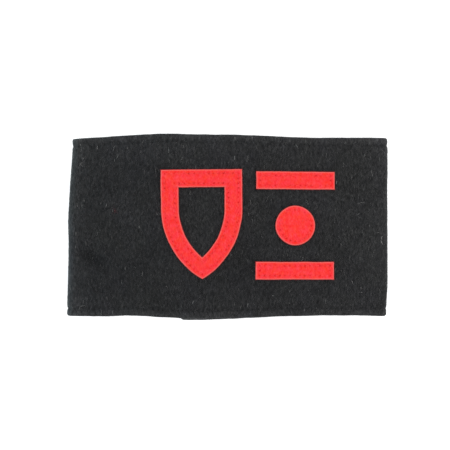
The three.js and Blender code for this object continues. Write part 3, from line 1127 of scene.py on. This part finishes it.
def start_fibres(row):
    """A row's random numbers, its count, and where its points lie: in millimetres and from -1 to 1."""
    rng = np.random.default_rng(row["seed"])
    count = (row["count"], 1)
    share = np.linspace(-1, 1, row["points"])
    length = rng.uniform(SHORTEST_SHARE, 1, count) * row["longest"]
    return rng, count, share * length / 2, share


def bent(lean, curl, distance):
    """Steps sideways and forward along a fibre that leans and curls."""
    sideways = np.sin(lean) * distance + curl * np.cos(lean) * distance ** 2
    forward = np.cos(lean) * distance - curl * np.sin(lean) * distance ** 2
    return sideways, forward


def leaning(rng, row, distance):
    """Steps along the fibres of a row, each with a lean and a curl of its own."""
    lean, curl = (rng.normal(0, amount, (row["count"], 1)) for amount in (row["lean"], FIBRE_CURL))
    return bent(np.radians(lean), curl, distance)


def arched(share, rise):
    """Height along a fibre that rises from its buried ends."""
    return rise * (1 - share ** 2) - BURIED


def add_cloth_fuzz(row, material):
    """Fibres that lie on one face of the cloth."""
    rng, count, distance, share = start_fibres(row)
    sideways, forward = leaning(rng, row, distance)
    s = rng.uniform(*FIBRE_PLACES[row["part"]], count) + sideways
    top, bottom, across = top_edge(s), bottom_edge(s), rng.uniform(0, 1, count)
    y = np.clip(top * across + bottom * (1 - across) + forward, bottom, top)
    rise = arched(share, rng.uniform(LOWEST_SHARE, 1, count) * row["rise"])
    level = cloth_height(s, y)
    paths = cloth_points(s, y, row["face"] * (level + rise) + felted(s, y, level))
    radii = rng.uniform(*RADIUS_SPREAD, count) * row["radius"]
    middle = [row["points"] // 2]
    # The fibres take the cloth's tone, painted light and shade included.
    shade = rng.uniform(0, 1, count) ** SHADE_POWER * cloth_tone_and_light(s[:, middle], y[:, middle])
    add_fibres(row["piece"], paths, radii, shade, material)


def add_short_fibres(name, rng, row, paths, material):
    """Short fibres, whose radii and shades don't depend on where they are."""
    radii, shade = (rng.uniform(*ends, (row["count"], 1)) for ends in (SHORT_RADIUS_SPREAD, (0, 1)))
    add_fibres(name, paths, radii * row["radius"], shade, material)


def add_rim_fuzz(material):
    """Short fibres that stand out of the long edges."""
    rng, count, distance, share = start_fibres(RIM_FUZZ)
    sideways, forward = leaning(rng, RIM_FUZZ, distance)
    s = rng.uniform(*FIBRE_PLACES["strip"], count) + sideways
    out = forward - RIM_FUZZ["depth"] * rng.uniform(0, 1, count)
    is_upper = rng.uniform(0, 1, count) > 1 / 2
    y = np.where(is_upper, top_edge(s) + out, bottom_edge(s) - out)
    middle = rng.uniform(-RIM_FUZZ["height"], RIM_FUZZ["height"], count)
    paths = cloth_points(s, y, middle + rng.normal(0, RIM_FUZZ["slope"], count) * share)
    add_short_fibres("rim_fuzz", rng, RIM_FUZZ, paths, material)


def add_felt_fuzz(tops, rooms, material):
    """Short fibres that lie any way on the felt and stand out of its cut edges."""
    rng, count, distance, share = start_fibres(FELT_FUZZ)
    turn, curl = rng.uniform(0, math.pi, count), rng.normal(0, FELT_FUZZ["curl"], count)
    start = tops[rng.choice(len(tops), count[0], p=rooms / rooms.sum())][:, None]
    rise = arched(share, rng.uniform(LOWEST_SHARE, 1, count) * FELT_FUZZ["rise"])
    paths = start + np.stack([*bent(turn, curl, distance), rise], axis=-1)
    add_short_fibres("felt_fuzz", rng, FELT_FUZZ, paths, material)


def laid_on_front(x, y, sideways, forward, share):
    """Paths of hairs on the front round the places where the camera sees them."""
    nearer = (CAMERA_HEIGHT - front_top(x, y)) / (CAMERA_HEIGHT - SCALE_HEIGHT)
    x, y = x * nearer, y * nearer
    s = length_on_front(x - fold_shift(x, y)) + sideways
    y = y + forward
    level = cloth_height(s, y)
    return cloth_points(s, y, level + felted(s, y, level) + arched(share, HAIR_RISE))


def add_clear_hairs(material):
    x, y, length, lean, shade = np.array(CLEAR_HAIRS).T[..., None]
    share = np.linspace(-1, 1, CLEAR_HAIR_POINTS)
    sideways, forward = bent(np.radians(lean), FIBRE_CURL, share * length / 2)
    paths = laid_on_front(x, y, sideways, forward, share)
    add_fibres("clear_hairs", paths, CLEAR_HAIR_RADIUS, shade, material)


def add_red_speck(material):
    """A few red fibres from the felt, caught on the cloth."""
    rng, count, distance, share = start_fibres(RED_SPECK)
    turn, curl = (rng.normal(0, RED_SPECK[column], count) for column in ("turn", "curl"))
    sideways, forward = bent(turn, curl, distance)
    x, y = (RED_SPECK[axis] + rng.normal(0, RED_SPECK["spread"], count) for axis in ("x", "y"))
    paths = laid_on_front(x, y, sideways, forward, share)
    shade = rng.uniform(0, 1, count)
    add_fibres("red_speck", paths, RED_SPECK["radius"], shade, material)


# The pieces


strands = {name: strand_material(name) for name in STRANDS}

cloth = add_wool_band(wool_material())
add_topstitching(strands["black_thread"])
add_seam_stitching(strands["black_thread"])

felt = felt_material()
felt_parts = [add_felt(cut_out, felt) for cut_out in named_rows(CUT_OUT_COLUMNS, CUT_OUTS)]
felt_tops, felt_rooms, felt_paths = (np.concatenate(column) for column in zip(*felt_parts))
add_threads("felt_stitching", felt_paths, FELT_THREAD, strands["red_thread"])
add_felt_fuzz(felt_tops, felt_rooms, strands["red_fibre"])
add_red_speck(strands["dull_red_fibre"])

for fuzz_row in named_rows(FUZZ_COLUMNS, FUZZ):
    add_cloth_fuzz(fuzz_row, strands[fuzz_row["strand"]])
add_rim_fuzz(strands["dark_fibre"])
add_clear_hairs(strands["pale_hair"])


# The floor, the light and the camera


def add_floor():
    bpy.ops.mesh.primitive_plane_add(size=FLOOR_SIZE * MM, location=(0, 0, -FLOOR_DROP * MM))
    floor = bpy.context.object
    floor.name = "floor"
    material, _, shader = new_material("white_table", "table")
    set_inputs(shader, {"Base Color": FLOOR_WHITE, "Emission Color": WHITE, "Emission Strength": FLOOR_GLOW})
    floor.data.materials.append(material)


def add_soft_light(name, place, size, power, colour):
    """A square light that shines at the middle of the part."""
    light = bpy.data.lights.new(name, "AREA")
    light.size = size
    light.energy = power
    light.color = colour
    lamp = bpy.data.objects.new(name, light)
    lamp.location = place
    lamp.rotation_euler = lamp.location.to_track_quat("Z", "Y").to_euler()
    bpy.context.collection.objects.link(lamp)


def add_camera():
    """Looks straight down, at the photograph's scale."""
    distance = CAMERA_HEIGHT - SCALE_HEIGHT
    camera = bpy.data.cameras.new("camera")
    camera.sensor_width = SENSOR
    camera.lens = SENSOR * distance / (PHOTO_SIZE * PIXEL)
    viewer = bpy.data.objects.new("camera", camera)
    x = (PHOTO_SIZE / 2 - PHOTO_MIDDLE_X) * PIXEL
    y = (PHOTO_MIDDLE_Y - PHOTO_SIZE / 2) * PIXEL + SHIFT_Y
    viewer.location = (x * MM, y * MM, CAMERA_HEIGHT * MM)
    bpy.context.collection.objects.link(viewer)
    bpy.context.scene.camera = viewer


world = bpy.data.worlds.new("light_tent")
world.use_nodes = True
set_inputs(world.node_tree.nodes["Background"], {"Color": WHITE, "Strength": 1.0})
bpy.context.scene.world = world
bpy.context.scene.view_settings.view_transform = "Standard"
add_floor()
for light_row in LIGHTS:
    add_soft_light(*light_row)
add_camera()
